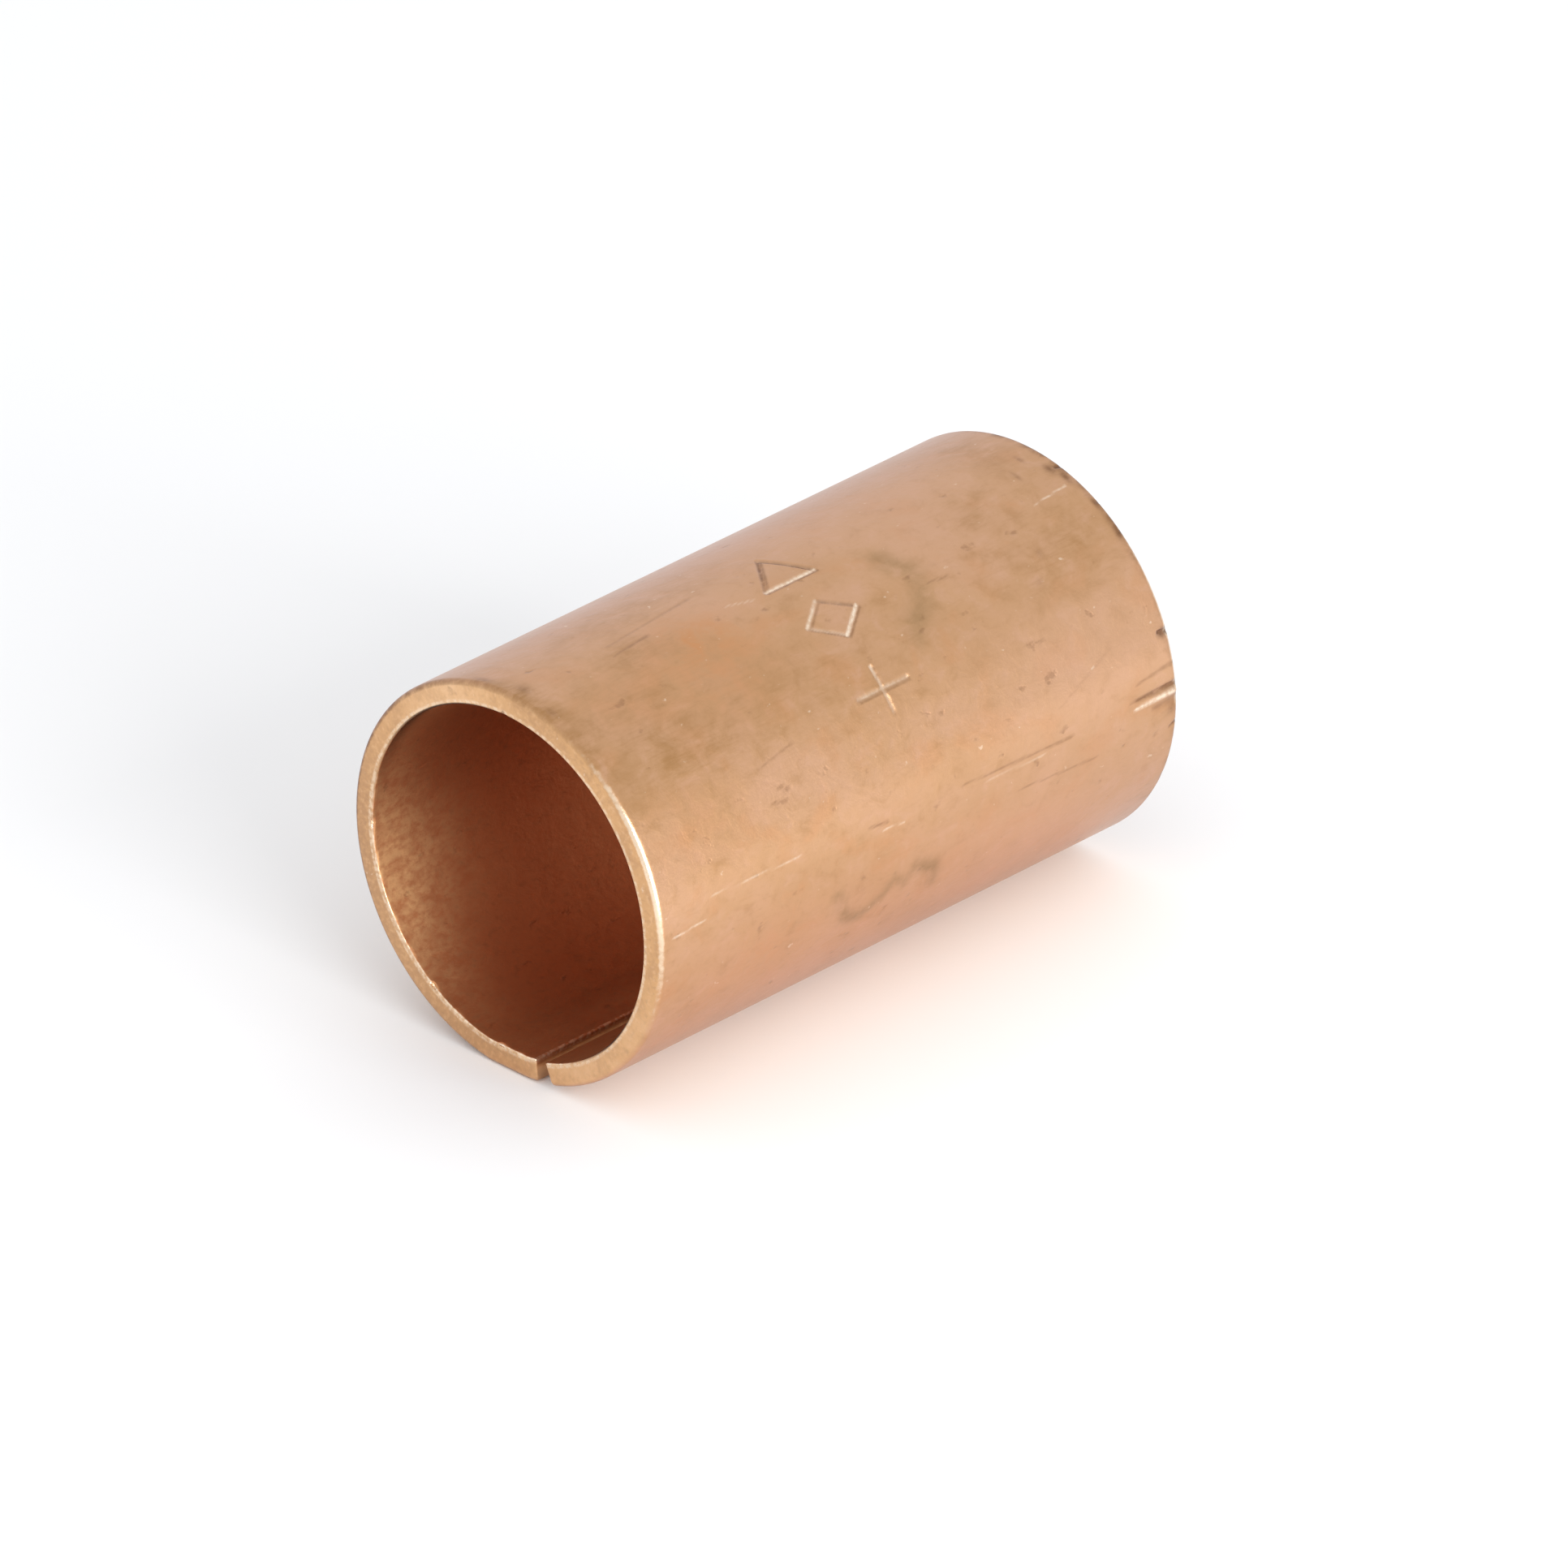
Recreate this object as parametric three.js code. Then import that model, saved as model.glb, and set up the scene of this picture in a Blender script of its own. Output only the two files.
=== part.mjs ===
// Wrapped bronze sleeve bushing, in millimetres.
// It is one strip of solid bronze, blanked to size, tumbled to take the sharp corners off, and
// rolled into a tube whose two ends face each other across a butt seam.
// The sleeve lies on its side: +Y runs along the bore from the front end to the rear end, +Z is
// up, and the origin is on the bore axis, half way along.

import * as THREE from "three";

// The rolled strip
const OUTER_DIAMETER = 25;
const WALL = 1.5;
const LENGTH = 42.7;
const CORNER_RADIUS = 0.22; // tumbled corners round both end faces

// The butt seam. Angles are in degrees round the bore, from +X toward +Z.
const SEAM_ANGLE = -76.3;
const SEAM_GAP_IN_BORE = 0.68;
const SEAM_GAP_OUTSIDE = 1.2;

// The rolls can't grip the last stretch of strip, so it stays straight just before one lip, and
// that side of the sleeve stands a little inside the true circle. The sleeve lies on this flat.
const FLAT_ANGLE = -90;
const FLAT_HALF_WIDTH = 7.3;
const LOW_SIDE = { depth: 0.13, spread: 50 };

// Facets
const ROUND_STEPS = 96;
const LIP_STEPS = 1;
const CORNER_STEPS = 2;

// From here on, angles count from the seam: 0 at its middle, rising round to 360.
const FLAT_PAST_SEAM = FLAT_ANGLE - SEAM_ANGLE + 360;

// Distance of the outer surface from the bore axis. The low side comes back out as it leaves
// the flat, so the lip next to the flat is low and the lip across the seam is high.
function outerRadius(pastSeam) {
  const offset = (pastSeam - FLAT_PAST_SEAM) / LOW_SIDE.spread;
  return OUTER_DIAMETER / 2 - LOW_SIDE.depth * Math.exp(-offset * offset);
}

// Evenly spaced angles from one to another, both included.
function spaced(from, to, steps) {
  return Array.from({ length: steps + 1 }, (_, i) => THREE.MathUtils.lerp(from, to, i / steps));
}

// One face of the rolled strip, from its high lip round to its low lip: a row of points that
// lies depthInWall below the outer surface and leaves half of gap free at each end. The flat is
// the straight line left between its two corners.
function stripFace(depthInWall, gap) {
  const halfGap = THREE.MathUtils.radToDeg(gap / 2 / (OUTER_DIAMETER / 2 - depthInWall));
  const angles = [
    ...spaced(halfGap, FLAT_PAST_SEAM - FLAT_HALF_WIDTH, ROUND_STEPS),
    ...spaced(FLAT_PAST_SEAM + FLAT_HALF_WIDTH, 360 - halfGap, LIP_STEPS),
  ];
  return angles.map((pastSeam) => {
    const angle = THREE.MathUtils.degToRad(SEAM_ANGLE + pastSeam);
    const radius = outerRadius(pastSeam) - depthInWall;
    return new THREE.Vector2(radius * Math.cos(angle), radius * Math.sin(angle));
  });
}

// The end view of the sleeve: out along the outer surface and back along the bore.
function endView() {
  const outside = stripFace(0, SEAM_GAP_OUTSIDE);
  const inBore = stripFace(WALL, SEAM_GAP_IN_BORE).reverse();
  return new THREE.Shape([...outside, ...inBore]);
}

// The end view drawn out along the bore, with every corner of both end faces rounded.
function sleeveGeometry() {
  const straight = LENGTH - 2 * CORNER_RADIUS;
  const geometry = new THREE.ExtrudeGeometry(endView(), {
    depth: straight,
    steps: 1,
    bevelEnabled: true,
    bevelThickness: CORNER_RADIUS,
    bevelSize: CORNER_RADIUS,
    bevelOffset: -CORNER_RADIUS,
    bevelSegments: CORNER_STEPS,
  });
  geometry.translate(0, 0, -straight / 2);
  return geometry.rotateX(Math.PI / 2);
}

const bronze = new THREE.MeshStandardMaterial({
  color: 0xc99a6b,
  roughness: 0.45,
  metalness: 1,
});

const sleeve = new THREE.Mesh(sleeveGeometry(), bronze);
sleeve.name = "split_sleeve";

const bushing = new THREE.Group();
bushing.add(sleeve);

export default bushing;
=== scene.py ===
import bpy
import numpy as np
from mathutils import Matrix, Vector


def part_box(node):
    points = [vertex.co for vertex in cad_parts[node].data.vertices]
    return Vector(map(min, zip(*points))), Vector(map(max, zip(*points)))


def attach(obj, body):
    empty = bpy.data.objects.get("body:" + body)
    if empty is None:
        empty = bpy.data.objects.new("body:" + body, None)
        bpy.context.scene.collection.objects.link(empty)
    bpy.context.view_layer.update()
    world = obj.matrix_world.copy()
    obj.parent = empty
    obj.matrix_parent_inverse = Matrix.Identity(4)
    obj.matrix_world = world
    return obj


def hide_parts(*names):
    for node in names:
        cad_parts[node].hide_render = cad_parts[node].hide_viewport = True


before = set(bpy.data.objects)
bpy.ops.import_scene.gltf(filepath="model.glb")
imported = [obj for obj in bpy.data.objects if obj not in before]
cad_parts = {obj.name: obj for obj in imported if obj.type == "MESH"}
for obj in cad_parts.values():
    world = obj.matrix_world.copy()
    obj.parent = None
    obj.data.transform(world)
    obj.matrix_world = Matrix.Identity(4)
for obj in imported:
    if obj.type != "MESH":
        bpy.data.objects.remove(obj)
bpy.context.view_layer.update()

# ---------------------------------------------------------------------------------------------
# The rolled strip
# One strip of solid tin bronze, blanked to size, tumbled to take its corners off and rolled into
# a tube. One lip sits a little low, and the strip beside it is flatter than the rest. Here that
# stretch is a true flat, which is an assumption, and the sleeve lies on it.
# ---------------------------------------------------------------------------------------------
MM = 0.001
strip_low, strip_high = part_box("split_sleeve")
LENGTH = strip_high.y - strip_low.y
OUTER_RADIUS = strip_high.z
WALL = 1.5 * MM
CORNER = 0.22 * MM
WORN_CORNER = 0.36 * MM  # the outer corners, rounder from handling
KEEN_CORNER = 0.13 * MM  # the corners in the bore, which handling hardly rounds

# Angles run round the bore, in degrees from +X toward +Z.
SEAM_ANGLE = -76.3
SEAM_GAP_OUTSIDE = 1.2 * MM
SEAM_GAP_IN_BORE = 0.68 * MM
FLAT_PAST_SEAM = -90.0 - SEAM_ANGLE + 360.0
FLAT_HALF_WIDTH = 7.3
FLAT_CORNER_SOFTNESS = 0.02 * MM
FLAT_LIMIT = 60.0  # well past the flat's corners, where its plane lies far outside the roll
LOW_SIDE_DEPTH = 0.13 * MM
LOW_SIDE_SPREAD = 50.0


def smooth_step(low, high, value):
    """0 below low, 1 above high, and an even ease between them."""
    share = np.clip((value - low) / (high - low), 0.0, 1.0)
    return share * share * (3.0 - 2.0 * share)


def outer_radius(past_seam):
    """Distance of the outer surface from the bore axis, at an angle counted from the seam."""
    offset = past_seam - FLAT_PAST_SEAM
    rolled = OUTER_RADIUS - LOW_SIDE_DEPTH * np.exp(-((offset / LOW_SIDE_SPREAD) ** 2))
    corner_drop = LOW_SIDE_DEPTH * np.exp(-((FLAT_HALF_WIDTH / LOW_SIDE_SPREAD) ** 2))
    flat_height = (OUTER_RADIUS - corner_drop) * np.cos(np.radians(FLAT_HALF_WIDTH))
    flat = flat_height / np.cos(np.radians(np.clip(offset, -FLAT_LIMIT, FLAT_LIMIT)))
    share = np.clip(0.5 + 0.5 * (rolled - flat) / FLAT_CORNER_SOFTNESS, 0.0, 1.0)
    blend = FLAT_CORNER_SOFTNESS * share * (1.0 - share)
    return rolled * (1.0 - share) + flat * share - blend


RULER_PLACES = 20001
SPACING_GROWTH = 0.3  # how fast the spacing widens outside a zone


def graded_lines(start, end, widest, zones):
    """Places from start to end, widest apart, that crowd together in each zone of
    (low, high, spacing)."""
    ruler = np.linspace(start, end, RULER_PLACES)
    spacing = np.full_like(ruler, widest)
    for low, high, fine in zones:
        beyond = np.maximum(np.maximum(low - ruler, ruler - high), 0.0)
        spacing = np.minimum(spacing, fine + SPACING_GROWTH * beyond)
    per_step = np.diff(ruler) * 2.0 / (spacing[1:] + spacing[:-1])
    count = np.concatenate([[0.0], np.cumsum(per_step)])
    return np.interp(np.linspace(0.0, count[-1], int(np.ceil(count[-1])) + 1), count, ruler)


# ---------------------------------------------------------------------------------------------
# The inspection marks
# Three plain shapes, a triangle, a diamond and a plus, struck into the outside half way along
# with hand punches. Each stroke's colour has a painted highlight on one wall and a painted shadow on the
# other.
# ---------------------------------------------------------------------------------------------
MARK_ALONG = 21.2 * MM
MARK_HALF_HEIGHT = 2.0 * MM
MARK_HALF_WIDTH = 1.45 * MM
STROKE_HALF_WIDTH = 0.20 * MM
STROKE_FLOOR = 0.1 * STROKE_HALF_WIDTH
STROKE_DEPTH = 0.11 * MM
LIP_HEIGHT = 0.020 * MM  # of the metal raised beside a stroke
LIP_MIDDLE = 1.3 * STROKE_HALF_WIDTH
LIP_SPREAD = 0.5 * STROKE_HALF_WIDTH

# Each wall's shift from the middle of its stroke, round the sleeve and along it, its half width,
# and how strongly it shows: first the painted highlight wall, then the painted shadow wall
HIGHLIT_WALL, HIGHLIT_HALF_WIDTH, HIGHLIT_STRENGTH = (0.03 * MM, -0.02 * MM), 0.18 * MM, 1.5
SHADED_WALL, SHADED_HALF_WIDTH, SHADED_STRENGTH = (-0.17 * MM, 0.10 * MM), 0.15 * MM, 0.8

# The punch bounced, so its force wavers by this share, in waves this many radians to a millimetre.
BOUNCE = 0.15
BOUNCE_ROUND, BOUNCE_ALONG = 5.3 / MM, 4.1 / MM

# The angle round the sleeve of each mark, and its strokes: start and end as shares of the half
# width round the sleeve and the half height along it, force at each, and how bright its painted highlight
# is; a dim stroke gets a painted dark floor.
TRIANGLE = [
    ((-1, -1), (-1, 1), 0.9, 1.0, 1.0),
    ((-1, 1), (1, 0.1), 1.0, 0.9, 0.1),
    ((1, 0.1), (-1, -1), 0.9, 0.9, 0.0),
]
DIAMOND = [
    ((-1, 0), (0, 1), 1.0, 0.9, 1.0),
    ((0, 1), (1, 0), 0.8, 0.6, 0.1),
    ((1, 0), (0, -1), 0.5, 0.9, 0.9),
    ((0, -1), (-1, 0), 0.7, 1.0, 0.35),
]
PLUS = [
    ((0, -1), (0, 1), 0.8, 0.65, 0.45),
    ((-1, 0), (1, 0), 0.35, 0.8, 0.7),
]
MARKS = [(87.6, TRIANGLE), (64.6, DIAMOND), (40.8, PLUS)]


def distance_to_stroke(across, along, start, end):
    """How far points lie from a straight stroke, and how far along it they are, from 0 to 1."""
    run_across, run_along = end[0] - start[0], end[1] - start[1]
    reached = (across - start[0]) * run_across + (along - start[1]) * run_along
    share = np.clip(reached / (run_across**2 + run_along**2), 0.0, 1.0)
    gap_across = across - start[0] - share * run_across
    gap_along = along - start[1] - share * run_along
    return np.hypot(gap_across, gap_along), share


def across_from(angle, centre_angle):
    """Distance round the outer surface from one angle to others."""
    return np.radians(angle - centre_angle) * OUTER_RADIUS


def wall_of_stroke(across, along, start, end, shift, half_width):
    """How strongly one wall of a stroke shows at each point, from 0 to 1."""
    near = distance_to_stroke(across - shift[0], along - shift[1], start, end)[0]
    return 1.0 - smooth_step(0.05, 1.0, near / half_width)


def struck_marks(angle, along):
    """How deep the marks cut at each point of the outer surface, how high metal is raised beside
    them, and how much painted shadow and how much painted highlight they show."""
    cut, raised, grime, bared = np.zeros((4,) + angle.shape)
    lengthways = along - MARK_ALONG
    for centre_angle, strokes in MARKS:
        across = across_from(angle, centre_angle)
        wave = np.sin(BOUNCE_ROUND * across + 1.0) * np.sin(BOUNCE_ALONG * lengthways)
        for start, end, first, last, bright in strokes:
            start = (start[0] * MARK_HALF_WIDTH, start[1] * MARK_HALF_HEIGHT)
            end = (end[0] * MARK_HALF_WIDTH, end[1] * MARK_HALF_HEIGHT)
            near, share = distance_to_stroke(across, lengthways, start, end)
            force = (first + (last - first) * share) * (1.0 - BOUNCE + BOUNCE * wave)
            highlit_wall = wall_of_stroke(across, lengthways, start, end, HIGHLIT_WALL, HIGHLIT_HALF_WIDTH)
            shaded_wall = wall_of_stroke(across, lengthways, start, end, SHADED_WALL, SHADED_HALF_WIDTH)
            groove = 1.0 - smooth_step(STROKE_FLOOR, STROKE_HALF_WIDTH, near)
            lip = np.exp(-(((near - LIP_MIDDLE) / LIP_SPREAD) ** 2))
            cut = np.maximum(cut, STROKE_DEPTH * force * groove)
            raised = np.maximum(raised, LIP_HEIGHT * force * lip)
            # Painted shadow on one wall and in the floors of dim strokes; painted highlight on the other
            # wall
            dark = np.maximum(SHADED_STRENGTH * shaded_wall, groove * (1.0 - bright)) * force
            grime = np.maximum(grime, dark)
            bared = np.maximum(bared, np.minimum(HIGHLIT_STRENGTH * highlit_wall * force * bright, 1.0))
    return cut, raised, grime, bared


# ---------------------------------------------------------------------------------------------
# Knocks and scratches
# What a loose bushing picks up in a bin: notches in the rear rim where others struck it, a gouge
# with its burr beside it, and fine scratches from being slid along the bench.
# ---------------------------------------------------------------------------------------------
# start (angle, mm along), end, half width in mm, depth in mm at the start and at the end, and
# how much it shines, from -1 where grime fills the furrow to 1 where it bares bright metal
GOUGES = [
    ((6.6, 39.0), (6.4, 42.8), 0.34, 0.02, 0.17, -0.8),
    ((2.0, 40.6), (1.6, 42.8), 0.60, 0.01, 0.16, -0.4),
    ((21.6, 41.9), (21.2, 42.8), 0.46, 0.18, 0.28, -1.0),
    ((-6.2, 42.0), (-5.0, 42.8), 0.26, 0.05, 0.20, -0.8),
    ((10.9, 39.4), (12.6, 42.8), 0.22, 0.005, 0.05, -0.4),
    ((61.0, 42.4), (61.0, 42.8), 0.26, 0.10, 0.18, -0.9),
    ((76.6, 42.2), (76.0, 42.8), 0.34, 0.12, 0.20, -0.9),
    ((69.0, 42.4), (69.0, 42.8), 0.22, 0.06, 0.14, -0.7),
    ((50.5, 42.4), (50.5, 42.8), 0.30, 0.08, 0.16, -0.8),
    ((-24.0, 42.4), (-24.0, 42.8), 0.20, 0.06, 0.12, -0.5),
]
SCRATCHES = [
    ((6.9, 25.0), (5.5, 34.0), 0.16, 0.020, 0.010, -0.45),
    ((4.8, 27.0), (4.4, 31.4), 0.10, 0.006, 0.010, 0.35),
    ((-2.4, 29.2), (-4.4, 36.0), 0.14, 0.012, 0.006, -0.35),
    ((10.8, 4.2), (9.6, 11.4), 0.08, 0.008, 0.012, 0.45),
    ((4.2, 1.0), (5.0, 3.6), 0.10, 0.014, 0.006, 0.7),
    ((8.0, 17.0), (7.2, 18.6), 0.18, 0.022, 0.012, -0.55),
    ((5.4, 18.2), (5.0, 19.9), 0.09, 0.008, 0.012, 0.6),
    ((68.4, 38.9), (69.6, 41.6), 0.11, 0.012, 0.020, 0.6),
    ((14.8, 33.2), (23.8, 38.0), 0.16, 0.004, 0.008, -0.15),
    ((30.5, 11.0), (27.5, 11.9), 0.22, 0.016, 0.010, -0.5),
    ((36.0, 10.2), (38.5, 13.4), 0.14, 0.008, 0.012, -0.35),
    ((89.0, 8.0), (92.5, 15.5), 0.22, 0.008, 0.012, -0.25),
    ((84.5, 7.6), (86.0, 10.6), 0.20, 0.010, 0.008, -0.45),
    ((83.0, 16.4), (80.5, 18.2), 0.12, 0.010, 0.008, 0.35),
    ((61.5, 28.4), (60.5, 30.0), 0.16, 0.010, 0.006, -0.4),
    ((26.6, 10.2), (25.4, 11.4), 0.20, 0.010, 0.006, -0.45),
    ((34.6, 32.2), (33.4, 33.6), 0.18, 0.010, 0.006, -0.4),
]
# The ridge of metal that the gouge pushed up on its lower side
BURR = ((4.2, 39.1), (4.5, 42.7), 0.30, 0.004, 0.085)

# Places on the front rim's inner edge that were knocked: angle, and depth in mm
INNER_NICKS = [
    (91.2, 0.06),
    (166.0, 0.04),
    (171.5, 0.06),
    (175.0, 0.04),
    (181.4, 0.20),
    (184.0, 0.06),
    (187.4, 0.05),
    (193.0, 0.07),
    (199.5, 0.04),
    (213.0, 0.05),
    (224.0, 0.06),
    (236.2, 0.24),
    (249.0, 0.05),
    (267.2, 0.12),
    (276.0, 0.05),
]
NICK_HALF_WIDTH = 0.2 * MM
NICK_BARED_DEPTH = 0.09 * MM  # where a nick is this deep, all its metal is bare


def furrow(angle, along, start, end, half_width):
    """How much of the full depth of a furrow, which widens from its start to its end, there is at
    each point, and how far along it the point is."""
    across = across_from(angle, start[0])
    end_across = across_from(end[0], start[0])
    run = (end_across, (end[1] - start[1]) * MM)
    near, share = distance_to_stroke(across, along - start[1] * MM, (0.0, 0.0), run)
    width = half_width * MM * (0.5 + 0.5 * share)
    return 1.0 - smooth_step(0.1, 1.0, near / width), share


def handling_damage(angle, along):
    """How deep the damage cuts into the outer surface, how high the burr stands, how much grime
    it holds and how much bright metal it bares, both from 0 to 1."""
    cut = np.zeros_like(angle)
    grime = np.zeros_like(angle)
    bared = np.zeros_like(angle)
    for start, end, half_width, first, last, shine in GOUGES + SCRATCHES:
        groove, share = furrow(angle, along, start, end, half_width)
        cut = np.maximum(cut, groove * (first + (last - first) * share) * MM)
        grime = np.maximum(grime, groove * -shine)
        bared = np.maximum(bared, groove * shine)
    start, end, half_width, first, last = BURR
    ridge, share = furrow(angle, along, start, end, half_width)
    raised = ridge * (first + (last - first) * share) * MM
    return cut, raised, grime, np.maximum(bared, ridge)


def inner_nicks(angle):
    """How deep the front rim's inner edge is knocked in, round the sleeve."""
    knocked = np.zeros_like(angle)
    for nick_angle, nick_depth in INNER_NICKS:
        across = across_from(angle, nick_angle) / NICK_HALF_WIDTH
        knocked = np.maximum(knocked, nick_depth * MM * np.exp(-(across**2)))
    return knocked


# ---------------------------------------------------------------------------------------------
# Stains and smudges
# Old coolant and finger marks have browned the bronze in soft patches, most of all near the
# front, and a tool rubbed an olive zigzag on. Pinker, lighter patches are partly tone and partly a painted
# reflection: the long band along the top and those low on the open side copy the pinkish-grey of grazing
# reflections.
# ---------------------------------------------------------------------------------------------
# (angle, mm along) of the middle, half width round and half length in mm, strength
BROWNED = [
    ((47.0, 6.0), 2.0, 5.5, 0.60),
    ((66.0, 5.0), 3.4, 6.5, 0.40),
    ((83.0, 9.0), 1.3, 2.6, 0.50),
    ((50.0, 16.5), 2.6, 6.0, 0.35),
    ((52.0, 38.0), 2.6, 5.0, 0.45),
    ((75.0, 35.0), 1.6, 2.0, 0.35),
    ((95.0, 40.0), 3.0, 2.0, 0.40),
    ((100.0, 12.0), 1.6, 8.0, 0.35),
    ((84.0, 0.4), 4.5, 1.1, 0.75),
    ((58.0, 0.4), 2.5, 0.9, 0.5),
]
# Pink tone, and painted reflection tint along the top and low on the open side
PINK_TONE_AND_REFLECTION = [
    ((104.0, 21.0), 4.6, 34.0, 0.80),
    ((24.0, 37.0), 4.5, 9.0, 0.60),
    ((-22.0, 31.0), 5.0, 11.0, 0.70),
    ((80.0, 31.0), 2.5, 2.2, 0.45),
    ((-30.0, 8.0), 5.0, 10.0, 0.40),
]
COPPERY = [
    ((76.0, 12.5), 2.2, 3.2, 0.85),
    ((60.0, 12.0), 2.6, 4.0, 0.45),
    ((70.0, 5.0), 2.5, 3.5, 0.40),
    ((30.0, 5.0), 2.5, 4.0, 0.30),
    ((-14.0, 9.0), 2.2, 3.0, 0.30),
]
# Painted light in the bore: lighter, duller patches just inside the front rim, on the side away
# from the lips, and faint ones along the lips.
BORE_LIGHT_PATCHES = [
    ((202.0, 0.6), 9.0, 3.0, 0.72),
    ((198.0, 4.0), 4.5, 3.5, 0.35),
    ((282.0, 16.0), 5.0, 14.0, 0.25),
    ((-66.0, 16.0), 5.0, 14.0, 0.25),
]
# Painted shade in the bore: dark bands just inside the mouth, and a dark patch low on the open side
BORE_SHADE_PATCHES = [
    ((122.0, 0.3), 6.0, 1.1, 0.75),
    ((-35.0, 2.0), 5.0, 4.0, 0.30),
    ((60.0, 0.2), 6.0, 0.7, 0.60),
]

# Painted shade, a dark line in the bore's front corner: (angle, degrees it reaches each way)
MOUTH_SHADE = [(120.0, 30.0), (-38.0, 16.0)]
MOUTH_SHADE_REACH = 0.9 * MM
# The front end face, sheared when the strip was blanked, has brown and pale stretches.
BROWNED_END = [
    ((186.0, 0.0), 9.0, 2.0, 0.72),
    ((246.0, 0.0), 9.0, 2.0, 0.45),
    ((78.0, 0.0), 3.0, 2.0, 0.35),
    ((25.0, 0.0), 9.0, 2.0, 0.15),
]
PALE_END = [
    ((116.0, 0.0), 4.6, 2.0, 0.80),
    ((-58.0, 0.0), 4.0, 2.0, 0.70),
    ((292.0, 0.0), 3.0, 2.0, 0.70),
    ((-30.0, 0.0), 3.0, 2.0, 0.40),
]
# Dark spots of old oil, most of them at the rear rim
GRIMY_SPOTS = [
    ((76.6, 41.8), 0.46, 0.34, 0.80),
    ((72.0, 42.1), 0.60, 0.26, 0.75),
    ((84.5, 41.0), 0.40, 0.16, 0.50),
    ((79.5, 39.6), 0.45, 0.16, 0.50),
    ((67.0, 42.4), 0.50, 0.16, 0.60),
    ((61.0, 42.3), 0.55, 0.20, 0.70),
    ((50.5, 42.3), 0.60, 0.24, 0.70),
    ((21.4, 42.15), 0.30, 0.30, 1.00),
    ((-0.4, 42.2), 0.38, 0.45, 0.55),
    ((88.0, 1.1), 0.50, 0.35, 0.45),
    ((101.0, 0.5), 0.60, 0.25, 0.50),
    ((76.0, 0.7), 0.35, 0.25, 0.40),
    ((65.5, 29.6), 0.22, 0.16, 0.30),
    ((55.0, 36.6), 0.30, 0.16, 0.35),
    ((48.0, 35.2), 0.26, 0.20, 0.30),
]
# the (angle, mm along) places that each smudge runs through, half width in mm, strength
SMUDGES = [
    ([(-8.0, 14.5), (-17.2, 15.6), (-19.4, 16.7)], 0.45, 0.50),
    ([(-19.0, 17.0), (-16.3, 18.4), (-12.0, 19.4), (-14.4, 20.3), (-10.8, 21.1)], 0.42, 0.45),
    ([(-10.8, 21.1), (-14.4, 22.6), (-19.2, 22.9)], 0.55, 0.60),
    ([(74.0, 27.0), (66.0, 28.0), (58.0, 27.4), (50.0, 25.2)], 0.85, 0.42),
]


def soft_patches(angle, along, patches):
    """How strongly soft-edged patches show at each point, from 0 to 1."""
    clear = np.ones_like(angle)
    for (centre_angle, centre_along), half_round, half_long, strength in patches:
        across = across_from(angle, centre_angle) / (half_round * MM)
        lengthways = (along - centre_along * MM) / (half_long * MM)
        clear *= 1.0 - strength * np.exp(-(across**2) - lengthways**2)
    return 1.0 - clear


def smudged(angle, along):
    """How strongly the smudges show at each point, from 0 to 1."""
    shown = np.zeros_like(angle)
    for places, half_width, strength in SMUDGES:
        for start, end in zip(places, places[1:]):
            across = across_from(angle, start[0])
            run = (across_from(end[0], start[0]), (end[1] - start[1]) * MM)
            near = distance_to_stroke(across, along - start[1] * MM, (0.0, 0.0), run)[0]
            shown = np.maximum(shown, strength * np.exp(-((near / (half_width * MM)) ** 2)))
    return shown


# ---------------------------------------------------------------------------------------------
# The sleeve
# The strip as a closed skin: the wall's rounded section is carried round from the high lip to
# the low lip. Lines crowd together where the punches and the knocks left their marks.
# ---------------------------------------------------------------------------------------------
CORNER_LINES = 6
LIP_LINES = 5
LIP_TURN = 62.0  # degrees that a lip's corner turns through before its face begins
FACE_LINES = 4

# In degrees past the seam: the high lip, the side with the marks, and the three deepest nicks
round_lines = graded_lines(
    0.0,
    360.0,
    1.7,
    [
        (0.0, 6.0, 0.8),
        (-12.0 - SEAM_ANGLE, 96.0 - SEAM_ANGLE, 0.55),
        (180.0 - SEAM_ANGLE, 182.8 - SEAM_ANGLE, 0.5),
        (235.0 - SEAM_ANGLE, 237.4 - SEAM_ANGLE, 0.5),
        (266.4 - SEAM_ANGLE, 268.0 - SEAM_ANGLE, 0.5),
    ],
)
# Along the outside: the front rim, the marks, and the knocked rear rim
outside_lines = graded_lines(
    WORN_CORNER,
    LENGTH - WORN_CORNER,
    0.4 * MM,
    [
        (0.0, 0.6 * MM, 0.14 * MM),
        (MARK_ALONG - 2.4 * MM, MARK_ALONG + 2.4 * MM, 0.11 * MM),
        (LENGTH - 3.0 * MM, LENGTH, 0.11 * MM),
    ],
)
bore_lines = graded_lines(KEEN_CORNER, LENGTH - KEEN_CORNER, 2.2 * MM, [(0.0, 0.5 * MM, 0.2 * MM)])

# The wall's section: where each point's rounding is centred, which way it faces, and the radius
# of the rounding. Places are pairs of (along, depth below the outer surface).
quarter = np.linspace(0.0, np.pi / 2.0, CORNER_LINES + 1)[1:-1]
face_depths = np.linspace(WORN_CORNER, WALL - KEEN_CORNER, FACE_LINES)
far_worn, far_corner, far_keen = LENGTH - WORN_CORNER, LENGTH - CORNER, LENGTH - KEEN_CORNER
bore_depth = WALL - KEEN_CORNER


def run_of(along, depth, faces_along, faces_depth, rounding):
    """One stretch of the wall's section, as rows of centre, facing and radius."""
    return np.stack(np.broadcast_arrays(along, depth, faces_along, faces_depth, rounding), axis=1)


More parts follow.
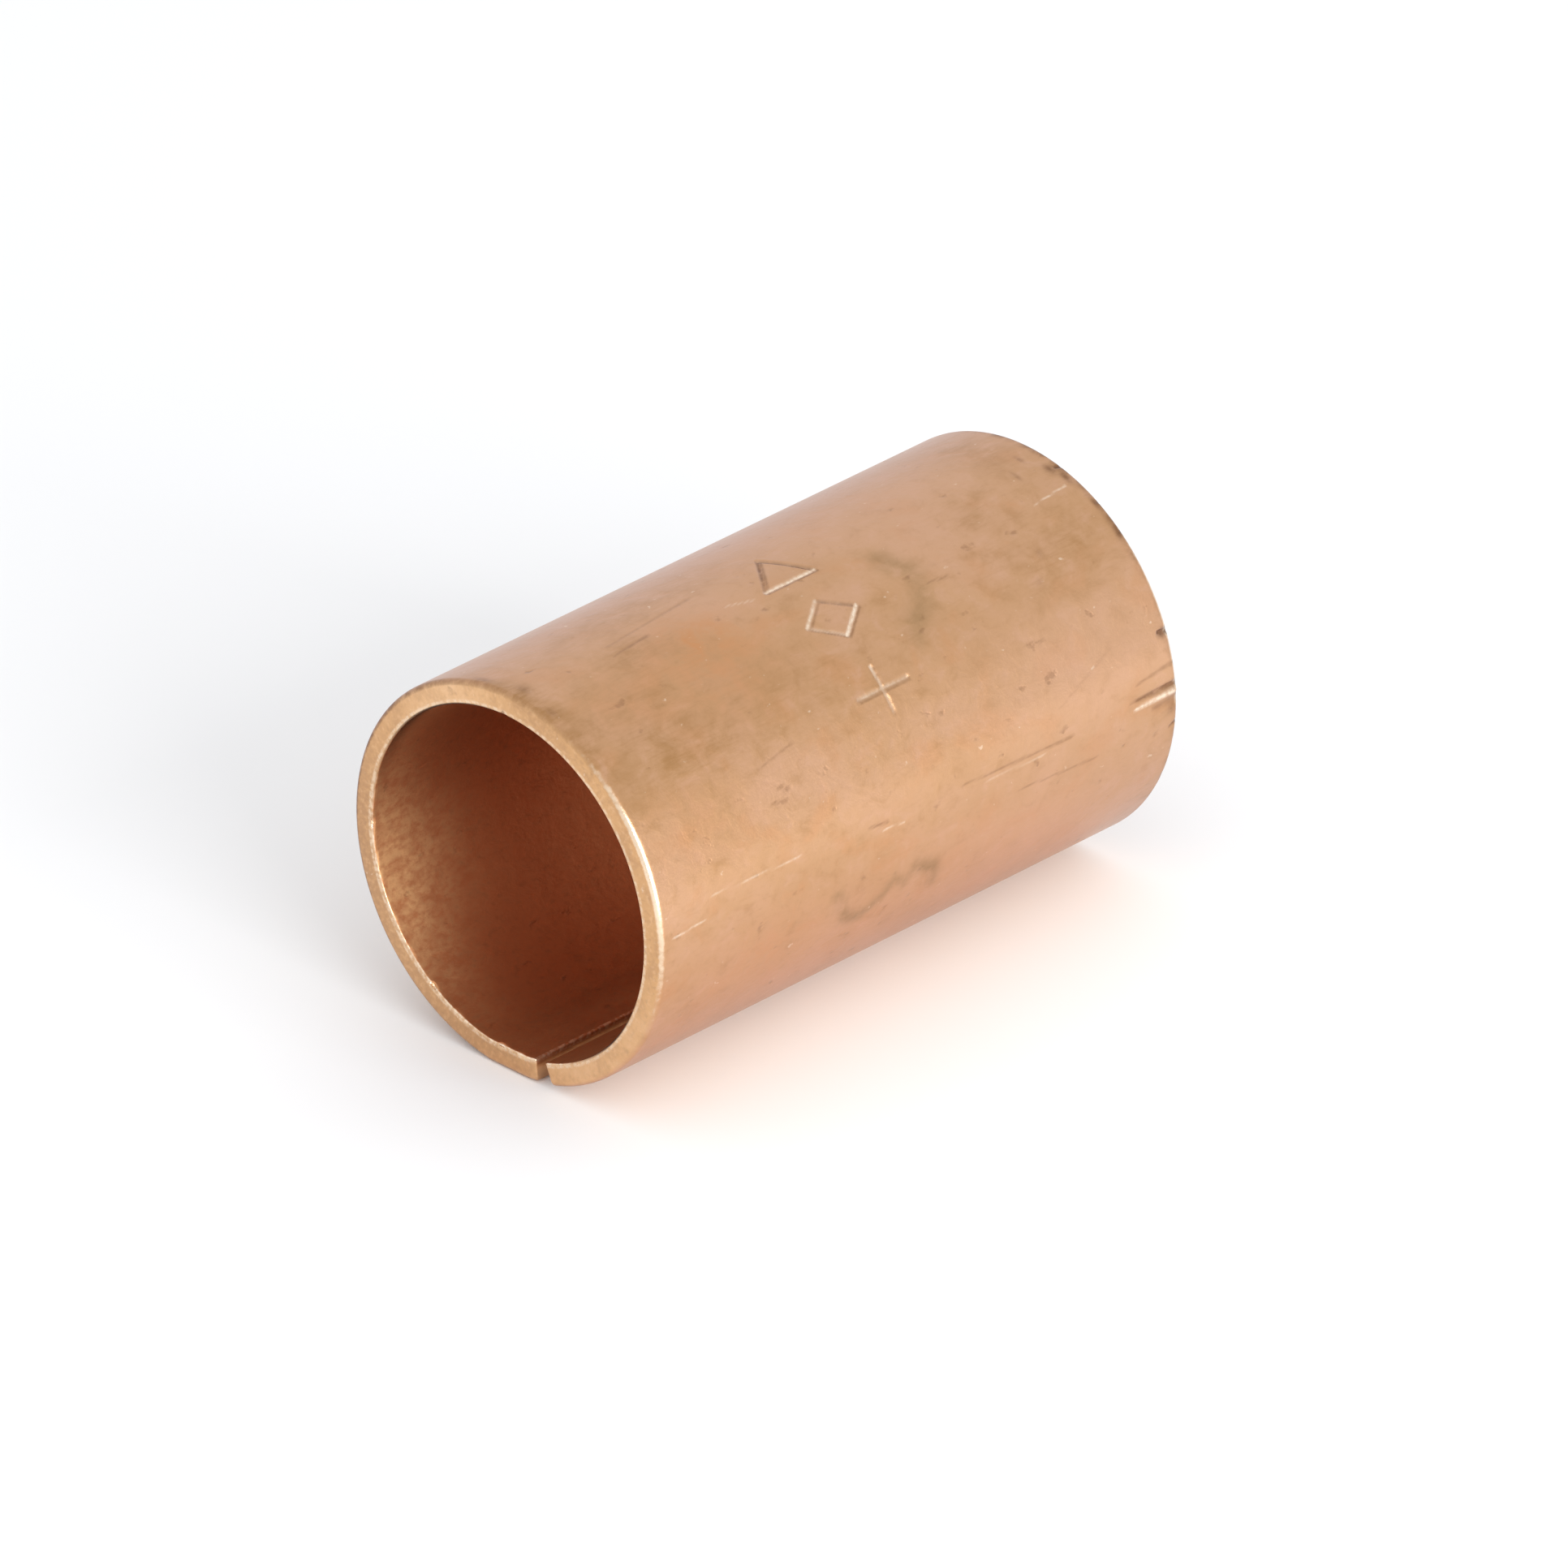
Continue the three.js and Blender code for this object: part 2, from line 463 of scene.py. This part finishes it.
section = np.concatenate(
    [
        run_of(outside_lines, WORN_CORNER, 0.0, -1.0, WORN_CORNER),
        run_of(far_worn, WORN_CORNER, np.sin(quarter), -np.cos(quarter), WORN_CORNER),
        run_of(far_corner, face_depths, 1.0, 0.0, CORNER),
        run_of(far_keen, bore_depth, np.cos(quarter), np.sin(quarter), KEEN_CORNER),
        run_of(bore_lines[::-1], bore_depth, 0.0, 1.0, KEEN_CORNER),
        run_of(KEEN_CORNER, bore_depth, -np.sin(quarter), np.cos(quarter), KEEN_CORNER),
        run_of(CORNER, face_depths[::-1], -1.0, 0.0, CORNER),
        run_of(WORN_CORNER, WORN_CORNER, -np.cos(quarter), -np.sin(quarter), WORN_CORNER),
    ]
)
faces_along, faces_bore = section[:, 2], section[:, 3]

# The rings round the sleeve: how far round each one is, and how far it is drawn in from the lip
# and from the wall's surface where the strip's end is rounded.
turn = np.linspace(0.0, np.radians(LIP_TURN), LIP_LINES + 1)[1:]
lip_back = CORNER * (1.0 - np.sin(turn))
lip_inset = CORNER * (1.0 - np.cos(turn))
share_round = round_lines / round_lines[-1]
ring_share = np.concatenate([np.zeros(LIP_LINES), share_round, np.ones(LIP_LINES)])
ring_back = np.concatenate([lip_back[::-1], np.full(len(share_round), CORNER), lip_back])
ring_inset = np.concatenate([lip_inset[::-1], np.zeros(len(share_round)), lip_inset])

reach = section[None, :, 4] - ring_inset[:, None]
along = section[None, :, 0] + reach * faces_along
depth = section[None, :, 1] + reach * faces_bore

half_gap = 0.5 * (SEAM_GAP_OUTSIDE + (SEAM_GAP_IN_BORE - SEAM_GAP_OUTSIDE) * depth / WALL)
first_angle = np.degrees((half_gap + ring_back[:, None]) / (OUTER_RADIUS - depth))
past_seam = first_angle + (360.0 - 2.0 * first_angle) * ring_share[:, None]
angle = past_seam + SEAM_ANGLE

mark_cut, mark_lip, mark_shadow, mark_highlight = struck_marks(angle, along)
knock_cut, knock_burr, grime, bared = handling_damage(angle, along)
raised = np.maximum(mark_lip, knock_burr) * (1.0 - smooth_step(0.0, CORNER, depth))
on_outside = depth < 0.5 * WALL
cut_depth = np.maximum(depth, np.maximum(mark_cut, knock_cut)) - raised
final_depth = np.where(on_outside, cut_depth, depth)

# The knocked places on the front rim's inner edge give way into the wall and back along it.
inner_front_edge = 2.0 * np.maximum(faces_bore, 0.0) * np.maximum(-faces_along, 0.0)
knocked = inner_nicks(angle) * inner_front_edge
final_depth = final_depth - knocked
along = along + knocked

radius = outer_radius(past_seam) - final_depth
points = np.stack(
    [
        radius * np.cos(np.radians(angle)),
        along - 0.5 * LENGTH,
        radius * np.sin(np.radians(angle)),
    ],
    axis=2,
)

rings, ring_points = angle.shape
number = np.arange(rings * ring_points).reshape(rings, ring_points)
here, after = number[:-1], number[1:]
quads = np.stack(
    [here, np.roll(here, -1, axis=1), np.roll(after, -1, axis=1), after], axis=2
).reshape(-1, 4)
high_lip, low_lip = number[0][::-1].tolist(), number[-1].tolist()

mesh = bpy.data.meshes.new("bronze_sleeve")
mesh.from_pydata(points.reshape(-1, 3), [], quads.tolist() + [high_lip, low_lip])
mesh.update()
mesh.polygons.foreach_set("use_smooth", np.ones(len(mesh.polygons), bool))


def keep_on_points(name, values):
    """Stores one number for each point of the sleeve, for the bronze to read."""
    layer = mesh.attributes.new(name, "FLOAT", "POINT")
    layer.data.foreach_set("value", np.ravel(values).astype(np.float32))


unrolled = mesh.attributes.new("unrolled", "FLOAT_VECTOR", "POINT")
unrolled_mm = np.stack([np.radians(angle) * OUTER_RADIUS, along, final_depth], axis=2) / MM
unrolled.data.foreach_set("vector", unrolled_mm.astype(np.float32).ravel())

def around(angle, middle, reach):
    """1 at one angle round the sleeve, fading to 0 past the reach."""
    return np.exp(-(((angle - middle) / reach) ** 2))


# The outer corner is worn and carries a painted highlight, brightest low on the open side where
# the softbox shines; the inner one is worn and carries a painted highlight on the far side, and painted
# light along the low lip. Both shares are 1 half way round a corner and 0 on the faces beside it.
OUTER_WEAR_HIGHLIGHT_MIDDLE = 26.0
OUTER_WEAR_HIGHLIGHT_BELOW, OUTER_WEAR_HIGHLIGHT_ABOVE = 42.0, 32.0
INNER_WEAR_HIGHLIGHT_LEAST = 0.1
INNER_WEAR_HIGHLIGHT_RISES, INNER_WEAR_HIGHLIGHT_FALLS = (164.0, 186.0), (-72.0, -50.0)
LIP_LIGHT = 0.8
# Painted shade: a dark edge along the outer corner on the left, near the top
CORNER_SHADE = (165.0, 62.0)
corner_share = 2.0 * np.abs(faces_along * faces_bore)
outer_corner = np.where(faces_bore < 0.0, corner_share, 0.0)
inner_corner = np.where(faces_bore < 0.0, 0.0, corner_share)
outer_reach = np.where(angle > OUTER_WEAR_HIGHLIGHT_MIDDLE, OUTER_WEAR_HIGHLIGHT_ABOVE, OUTER_WEAR_HIGHLIGHT_BELOW)
inner_wear_highlight = smooth_step(*INNER_WEAR_HIGHLIGHT_RISES, angle) + 1.0 - smooth_step(*INNER_WEAR_HIGHLIGHT_FALLS, angle)
inner_wear_highlight = INNER_WEAR_HIGHLIGHT_LEAST + (1.0 - INNER_WEAR_HIGHLIGHT_LEAST) * inner_wear_highlight
# Painted highlight on the outer corner, placed where the softbox shines
keep_on_points("outer_wear_and_highlight", outer_corner * around(angle, OUTER_WEAR_HIGHLIGHT_MIDDLE, outer_reach))
# Painted light on the low lip's inner corner
lip_corner_light = np.zeros_like(angle)
lip_corner_light[-LIP_LINES:] = LIP_LIGHT * np.maximum(faces_bore, 0.0)
keep_on_points("inner_wear_and_highlight", np.maximum(inner_corner * inner_wear_highlight, lip_corner_light))
keep_on_points("corner_shade", np.sqrt(outer_corner) * around(angle, *CORNER_SHADE))
# The seam faces: oil, and painted shade in the gap
seam_grime_and_shade = np.zeros_like(angle)
seam_grime_and_shade[[0, -1]] = 1.0
keep_on_points("seam_grime_and_shade", seam_grime_and_shade)
mouth_shade = sum(around(angle, middle, reach) for middle, reach in MOUTH_SHADE)
keep_on_points("mouth_shade", mouth_shade * np.exp(-((along / MOUTH_SHADE_REACH) ** 2)))
keep_on_points("end_face", np.broadcast_to(np.abs(faces_along) ** 4, angle.shape))

# The rear rim is grimy all round, and most of all on top.
REAR_GRIME_LEAST = 0.3
REAR_RIM = (LENGTH - 0.8 * MM, LENGTH - 0.1 * MM)
TOP_RISES, TOP_FALLS = (30.0, 60.0), (98.0, 120.0)
on_rear_rim = smooth_step(*REAR_RIM, along)
on_top = smooth_step(*TOP_RISES, angle) * (1.0 - smooth_step(*TOP_FALLS, angle))
rear = on_rear_rim * (REAR_GRIME_LEAST + (1.0 - REAR_GRIME_LEAST) * on_top)
keep_on_points("rear", np.where(on_outside, rear, 0.0))
keep_on_points("bore", np.broadcast_to(smooth_step(0.8, 1.0, faces_bore), angle.shape))
keep_on_points("lit_bore", soft_patches(angle, along, BORE_LIGHT_PATCHES))
keep_on_points("shaded_bore", soft_patches(angle, along, BORE_SHADE_PATCHES))
keep_on_points("browned_end", soft_patches(angle, along, BROWNED_END))
keep_on_points("pale_end", soft_patches(angle, along, PALE_END))
grime = np.maximum(grime, soft_patches(angle, along, GRIMY_SPOTS))
# The grime attribute holds real grime and the marks' painted shadow.
keep_on_points("grime", np.where(on_outside, np.maximum(grime, mark_shadow), 0.0))
# The bared attribute holds bare metal of scratches and nicks and the marks' painted highlight.
bared = np.where(on_outside, np.maximum(bared, mark_highlight), 0.0)
keep_on_points("bared", np.maximum(bared, knocked / NICK_BARED_DEPTH))
keep_on_points("browned", np.where(on_outside, soft_patches(angle, along, BROWNED), 0.0))
keep_on_points("pink_tone_and_reflection", np.where(on_outside, soft_patches(angle, along, PINK_TONE_AND_REFLECTION), 0.0))
keep_on_points("coppery", np.where(on_outside, soft_patches(angle, along, COPPERY), 0.0))
keep_on_points("smudge", np.where(on_outside, smudged(angle, along), 0.0))

sleeve = bpy.data.objects.new("bronze_sleeve", mesh)
bpy.context.scene.collection.objects.link(sleeve)
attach(sleeve, "root")
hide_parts("split_sleeve")

# ---------------------------------------------------------------------------------------------
# The bronze
# Cold-rolled tin bronze, satin from tumbling and a little tarnished: tan, with olive-brown and
# pinkish clouds, burnished on its corners with painted highlights there, and darker in the bore, partly as
# painted shade.
# ---------------------------------------------------------------------------------------------
bronze = bpy.data.materials.new("rolled_bronze")
bronze.use_nodes = True
nodes, links = bronze.node_tree.nodes, bronze.node_tree.links
shader = nodes["Principled BSDF"]
shader.inputs["Metallic"].default_value = 1.0


def wire(value, socket):
    """Sets a socket to a plain value, or links another node's output to it."""
    if isinstance(value, bpy.types.NodeSocket):
        links.new(value, socket)
    else:
        socket.default_value = value


def stored(name, vector=False):
    """Reads what keep_on_points put on the sleeve."""
    node = nodes.new("ShaderNodeAttribute")
    node.attribute_name = name
    return node.outputs["Vector" if vector else "Fac"]


def calculate(operation, *values, clamp=False):
    node = nodes.new("ShaderNodeMath")
    node.operation = operation
    node.use_clamp = clamp
    for value, socket in zip(values, node.inputs):
        wire(value, socket)
    return node.outputs["Value"]


def stretched(vector, factors, shift=(0.0, 0.0, 0.0)):
    node = nodes.new("ShaderNodeMapping")
    wire(vector, node.inputs["Vector"])
    node.inputs["Scale"].default_value = factors
    node.inputs["Location"].default_value = shift
    return node.outputs["Vector"]


def cloud(vector, scale, detail=3.0, rough=0.55, distortion=0.0):
    """Noise from 0 to 1 with features of about 1 / scale millimetres."""
    node = nodes.new("ShaderNodeTexNoise")
    wire(vector, node.inputs["Vector"])
    node.inputs["Scale"].default_value = scale
    node.inputs["Detail"].default_value = detail
    node.inputs["Roughness"].default_value = rough
    node.inputs["Distortion"].default_value = distortion
    return node.outputs["Fac"]


def between(value, low, high, to_low=0.0, to_high=1.0):
    """Eases a value that runs from low to high into another range."""
    node = nodes.new("ShaderNodeMapRange")
    node.interpolation_type = "SMOOTHSTEP"
    wire(value, node.inputs["Value"])
    for name, number in (("From Min", low), ("From Max", high), ("To Min", to_low), ("To Max", to_high)):
        node.inputs[name].default_value = number
    return node.outputs["Result"]


def tinted(share, first, second):
    """Mixes two colours: the first at a share of 0, the second at 1."""
    node = nodes.new("ShaderNodeMix")
    node.data_type = "RGBA"
    wire(share, node.inputs["Factor"])
    wire(first, node.inputs["A"])
    wire(second, node.inputs["B"])
    return node.outputs["Result"]


TAN = (0.605, 0.347, 0.182, 1.0)
BROWN = (0.44, 0.235, 0.10, 1.0)
PINK = (0.665, 0.39, 0.25, 1.0)
COPPER = (0.62, 0.30, 0.135, 1.0)
CUT_FACE = (0.73, 0.425, 0.20, 1.0)
DULL_END = (0.48, 0.27, 0.145, 1.0)
PALE_FACE = (0.88, 0.57, 0.33, 1.0)
BURNISHED_AND_HIGHLIT = (0.94, 0.74, 0.54, 1.0)
# The next two colours serve both: bare metal and painted highlights, then grime and painted shade.
BARE_AND_HIGHLIGHT = (0.97, 0.79, 0.61, 1.0)
GRIME_AND_SHADE = (0.17, 0.075, 0.035, 1.0)
MOUTH_SHADE_DARK = (0.055, 0.024, 0.012, 1.0)
OLIVE = (0.36, 0.22, 0.105, 1.0)
BORE_TARNISH_AND_SHADE = (0.56, 0.215, 0.09, 1.0)
BORE_LIT = (0.80, 0.50, 0.25, 1.0)


def share_of(value, amount):
    """A part of a node's value."""
    return calculate("MULTIPLY", value, amount)


surface = stored("unrolled", vector=True)
wide_cloud = cloud(stretched(surface, (1.0, 0.7, 1.0)), 0.16, 2.0, 0.5, 0.4)
cloud_mm = cloud(stretched(surface, (1.0, 0.8, 1.0), (13.0, 5.0, 0.0)), 0.7, 4.0, 0.62, 0.3)
patch_cloud = cloud(stretched(surface, (1.0, 0.75, 1.0), (31.0, 63.0, 0.0)), 0.33, 3.0, 0.55, 0.3)
fine_cloud = cloud(stretched(surface, (1.3, 0.9, 1.3), (3.0, 41.0, 0.0)), 1.9, 3.0, 0.6)
streaks = cloud(stretched(surface, (4.0, 0.5, 1.0), (7.0, 3.0, 0.0)), 1.0, 4.0, 0.65)
speckle = cloud(stretched(surface, (1.0, 1.0, 1.0), (17.0, 29.0, 0.0)), 3.2, 2.0, 0.5)
grain = cloud(stretched(surface, (1.0, 0.6, 1.0)), 9.0, 3.0, 0.6)
pits = between(cloud(stretched(surface, (1.2, 0.8, 1.0), (61.0, 9.0, 0.0)), 0.75, 3.0, 0.55), 0.65, 0.76)
glints = between(cloud(stretched(surface, (1.2, 0.9, 1.0), (5.0, 77.0, 0.0)), 1.5, 2.0, 0.5), 0.70, 0.78)
depth_node = nodes.new("ShaderNodeSeparateXYZ")
wire(surface, depth_node.inputs["Vector"])
depth_mm = depth_node.outputs["Z"]
in_bore = stored("bore")
outside = calculate("SUBTRACT", 1.0, in_bore)

# The stains have ragged edges, and dark streaks run through them.
ragged = calculate("ADD", between(cloud_mm, 0.3, 0.7, 0.3, 1.3), between(streaks, 0.4, 0.7, -0.1, 0.3))
browned = calculate("MULTIPLY", stored("browned"), ragged, clamp=True)
coppery = calculate("MULTIPLY", stored("coppery"), between(cloud_mm, 0.3, 0.65, 1.4, 0.3), clamp=True)
smudge = calculate("MULTIPLY", stored("smudge"), between(cloud_mm, 0.3, 0.65, 0.5, 1.4), clamp=True)
# Painted light patches in the bore, also rougher
lit_bore = calculate("MULTIPLY", stored("lit_bore"), in_bore)
lit_bore_patch = calculate("MULTIPLY", lit_bore, between(fine_cloud, 0.25, 0.65, 0.4, 1.2))
lit_bore_patch = calculate("MULTIPLY", lit_bore_patch, between(cloud_mm, 0.3, 0.6, 0.5, 1.3), clamp=True)

colour = tinted(between(wide_cloud, 0.45, 0.7, 0.0, 0.2), TAN, BROWN)
colour = tinted(between(wide_cloud, 0.3, 0.55, 0.5, 0.1), colour, PINK)
colour = tinted(between(patch_cloud, 0.5, 0.7, 0.0, 0.4), colour, COPPER)
colour = tinted(between(patch_cloud, 0.3, 0.48, 0.3, 0.0), colour, PINK)
colour = tinted(between(cloud_mm, 0.5, 0.78, 0.0, 0.5), colour, BROWN)
colour = tinted(between(cloud_mm, 0.22, 0.5, 0.7, 0.0), colour, PINK)
colour = tinted(between(fine_cloud, 0.5, 0.8, 0.0, 0.2), colour, BROWN)
colour = tinted(between(streaks, 0.5, 0.78, 0.0, 0.16), colour, BROWN)
# Pink tone and painted reflection tint
colour = tinted(share_of(stored("pink_tone_and_reflection"), 0.8), colour, PINK)
colour = tinted(coppery, colour, COPPER)
colour = tinted(browned, colour, BROWN)
colour = tinted(smudge, colour, OLIVE)
end_colour = tinted(between(cloud_mm, 0.48, 0.66, 0.0, 0.4), CUT_FACE, DULL_END)
end_colour = tinted(between(speckle, 0.5, 0.75, 0.0, 0.4), end_colour, DULL_END)
end_colour = tinted(between(fine_cloud, 0.3, 0.5, 0.4, 0.0), end_colour, PALE_FACE)
pale_end = calculate("MULTIPLY", stored("pale_end"), between(cloud_mm, 0.3, 0.6, 1.1, 0.5), clamp=True)
end_colour = tinted(pale_end, end_colour, PALE_FACE)
colour = tinted(share_of(stored("end_face"), 0.9), colour, end_colour)
dull_end = calculate("MULTIPLY", stored("browned_end"), stored("end_face"))
dull_end = calculate("MULTIPLY", dull_end, between(fine_cloud, 0.3, 0.7, 0.6, 1.3), clamp=True)
colour = tinted(dull_end, colour, DULL_END)
rear_grime = calculate("MULTIPLY", stored("rear"), between(cloud_mm, 0.42, 0.6, 0.1, 0.7))
colour = tinted(rear_grime, colour, GRIME_AND_SHADE)
# Painted shade along the outer corner on the upper left
corner_shade = calculate("MULTIPLY", stored("corner_shade"), between(fine_cloud, 0.3, 0.65, 0.35, 0.9))
colour = tinted(corner_shade, colour, GRIME_AND_SHADE)
# The bore is darker and redder: tarnish, and painted shade for the little light inside
colour = tinted(in_bore, colour, BORE_TARNISH_AND_SHADE)
colour = tinted(calculate("MULTIPLY", in_bore, between(fine_cloud, 0.5, 0.8, 0.0, 0.25)), colour, GRIME_AND_SHADE)
colour = tinted(lit_bore_patch, colour, BORE_LIT)
# Painted shade patches in the bore
colour = tinted(calculate("MULTIPLY", stored("shaded_bore"), in_bore), colour, GRIME_AND_SHADE)
colour = tinted(share_of(pits, 0.32), colour, GRIME_AND_SHADE)
# Painted glints: sparse bright specks on the outside
colour = tinted(calculate("MULTIPLY", glints, share_of(outside, 0.4)), colour, BARE_AND_HIGHLIGHT)

# The corners are burnished and carry painted highlights, the inner one in a broken line, and a painted
# highlight runs along the end face beside the inner edge.
outer_wear_and_highlight = between(calculate("ADD", stored("outer_wear_and_highlight"), share_of(speckle, 0.7)), 0.55, 1.2, 0.0, 0.9)
inner_wear_and_highlight = between(calculate("ADD", stored("inner_wear_and_highlight"), share_of(speckle, 1.8)), 1.35, 2.15, 0.0, 0.95)
# Painted highlight: a broken light band on the end face beside the inner edge
edge_highlight_band = calculate("MULTIPLY", between(depth_mm, 1.12, 1.28), between(depth_mm, 1.38, 1.47, 1.0, 0.0))
edge_highlight_band = calculate("MULTIPLY", edge_highlight_band, between(speckle, 0.38, 0.62, 0.15, 0.6))
edge_highlight_band = calculate("MULTIPLY", edge_highlight_band, between(stored("end_face"), 0.05, 0.5))
corner_wear_and_highlight = calculate("MAXIMUM", outer_wear_and_highlight, calculate("MAXIMUM", inner_wear_and_highlight, edge_highlight_band))
colour = tinted(corner_wear_and_highlight, colour, BURNISHED_AND_HIGHLIT)
# Painted shade: a near-black line in the bore's front corner
mouth_shade = calculate("MULTIPLY", stored("mouth_shade"), between(depth_mm, 1.34, 1.43, 0.0, 0.95))
colour = tinted(mouth_shade, colour, MOUTH_SHADE_DARK)
# Seam faces a little darker: oil and painted shade
colour = tinted(share_of(stored("seam_grime_and_shade"), 0.1), colour, GRIME_AND_SHADE)
# grime and bared carry real grime and bare metal, and the marks' painted shadow and painted highlight.
not_bared = calculate("SUBTRACT", 1.0, stored("bared"))
grime = calculate("MULTIPLY", stored("grime"), between(fine_cloud, 0.3, 0.6, 0.5, 0.9))
colour = tinted(calculate("MULTIPLY", grime, not_bared), colour, GRIME_AND_SHADE)
bared = calculate("MULTIPLY", stored("bared"), between(speckle, 0.35, 0.6, 0.55, 1.0))
colour = tinted(bared, colour, BARE_AND_HIGHLIGHT)
links.new(colour, shader.inputs["Base Color"])

# Stains, the bore and its painted light patches are duller than the satin outside, and worn, highlighted
# and bared places are smoother.
SATIN_SMOOTHEST, SATIN_ROUGHEST = 0.29, 0.33
EDGE_ON_TINT = (0.88, 0.89, 0.95, 1.0)
roughness = between(grain, 0.3, 0.7, SATIN_SMOOTHEST, SATIN_ROUGHEST)
for place, rougher in (
    (browned, 0.06),
    (in_bore, 0.2),
    (lit_bore, 0.22),
    (corner_wear_and_highlight, -0.12),
    (bared, -0.08),
):
    roughness = calculate("ADD", roughness, share_of(place, rougher))
links.new(roughness, shader.inputs["Roughness"])
shader.inputs["Specular Tint"].default_value = EDGE_ON_TINT


def bumped(height, rise, below=None):
    """Raises the surface by up to a height in metres, on top of another bump."""
    node = nodes.new("ShaderNodeBump")
    node.inputs["Distance"].default_value = rise
    wire(height, node.inputs["Height"])
    if below is not None:
        wire(below, node.inputs["Normal"])
    return node.outputs["Normal"]


# The rolls left a faint waviness, the tumbling a fine grain.
normal = bumped(cloud_mm, 0.05 * MM)
normal = bumped(pits, -0.015 * MM, normal)
normal = bumped(fine_cloud, 0.005 * MM, normal)
normal = bumped(streaks, 0.004 * MM, normal)
normal = bumped(grain, 0.0007 * MM, normal)
links.new(normal, shader.inputs["Normal"])

mesh.materials.append(bronze)

# ---------------------------------------------------------------------------------------------
# The table, the lights and the camera
# A plain white table under a soft white tent, with one large softbox standing to the right.
# ---------------------------------------------------------------------------------------------
TABLE_SIZE = 6.0
TABLE_WHITE = (0.9, 0.9, 0.9, 1.0)
TABLE_ROUGHNESS = 0.9

table_mesh = bpy.data.meshes.new("white_table")
half = TABLE_SIZE / 2.0
table_z = strip_low.z
table_mesh.from_pydata(
    [(-half, -half, table_z), (half, -half, table_z), (half, half, table_z), (-half, half, table_z)],
    [],
    [(0, 1, 2, 3)],
)
table = bpy.data.objects.new("white_table", table_mesh)
bpy.context.scene.collection.objects.link(table)
table_paint = bpy.data.materials.new("white_table")
table_paint.use_nodes = True
table_shader = table_paint.node_tree.nodes["Principled BSDF"]
table_shader.inputs["Base Color"].default_value = TABLE_WHITE
table_shader.inputs["Roughness"].default_value = TABLE_ROUGHNESS
table_mesh.materials.append(table_paint)

TENT_LIGHT = 1.0
TENT_TINT = (0.97, 0.98, 1.0, 1.0)
tent = bpy.data.worlds.new("white_tent")
tent.use_nodes = True
tent.node_tree.nodes["Background"].inputs["Color"].default_value = TENT_TINT
tent.node_tree.nodes["Background"].inputs["Strength"].default_value = TENT_LIGHT
bpy.context.scene.world = tent


def add_softbox(name, place, size, power):
    """A square area light that faces the sleeve."""
    light = bpy.data.lights.new(name, "AREA")
    light.size = size
    light.energy = power
    lamp = bpy.data.objects.new(name, light)
    lamp.location = place
    lamp.rotation_euler = Vector(place).to_track_quat("Z", "Y").to_euler()
    bpy.context.scene.collection.objects.link(lamp)


add_softbox("right_softbox", place=(0.40, -0.06, 0.10), size=0.34, power=2.1)

# The camera stands well back with a long lens, so the sleeve is drawn almost without perspective.
AZIMUTH, ELEVATION = np.radians(44.5), np.radians(28.9)
SENSOR_WIDTH = 36.0
FOCAL_LENGTH = 595.87
DISTANCE = 119.2 * OUTER_RADIUS
AIM_RIGHT, AIM_UP = 1.273 * OUTER_RADIUS, 0.461 * OUTER_RADIUS  # from the middle of the front rim

right = Vector((np.cos(AZIMUTH), np.sin(AZIMUTH), 0.0))
forward = Vector(
    (-np.sin(AZIMUTH) * np.cos(ELEVATION), np.cos(AZIMUTH) * np.cos(ELEVATION), -np.sin(ELEVATION))
)
up = right.cross(forward)
front_rim = Vector((0.0, -0.5 * LENGTH, 0.0))
camera_data = bpy.data.cameras.new("camera")
camera_data.lens = FOCAL_LENGTH
camera_data.sensor_width = SENSOR_WIDTH
camera_data.clip_start = 0.05
camera_data.clip_end = 20.0
camera = bpy.data.objects.new("camera", camera_data)
camera.location = front_rim + AIM_RIGHT * right + AIM_UP * up - DISTANCE * forward
camera.rotation_euler = Matrix((right, up, -forward)).transposed().to_euler()
bpy.context.scene.collection.objects.link(camera)
bpy.context.scene.camera = camera
bpy.context.scene.view_settings.view_transform = "Standard"
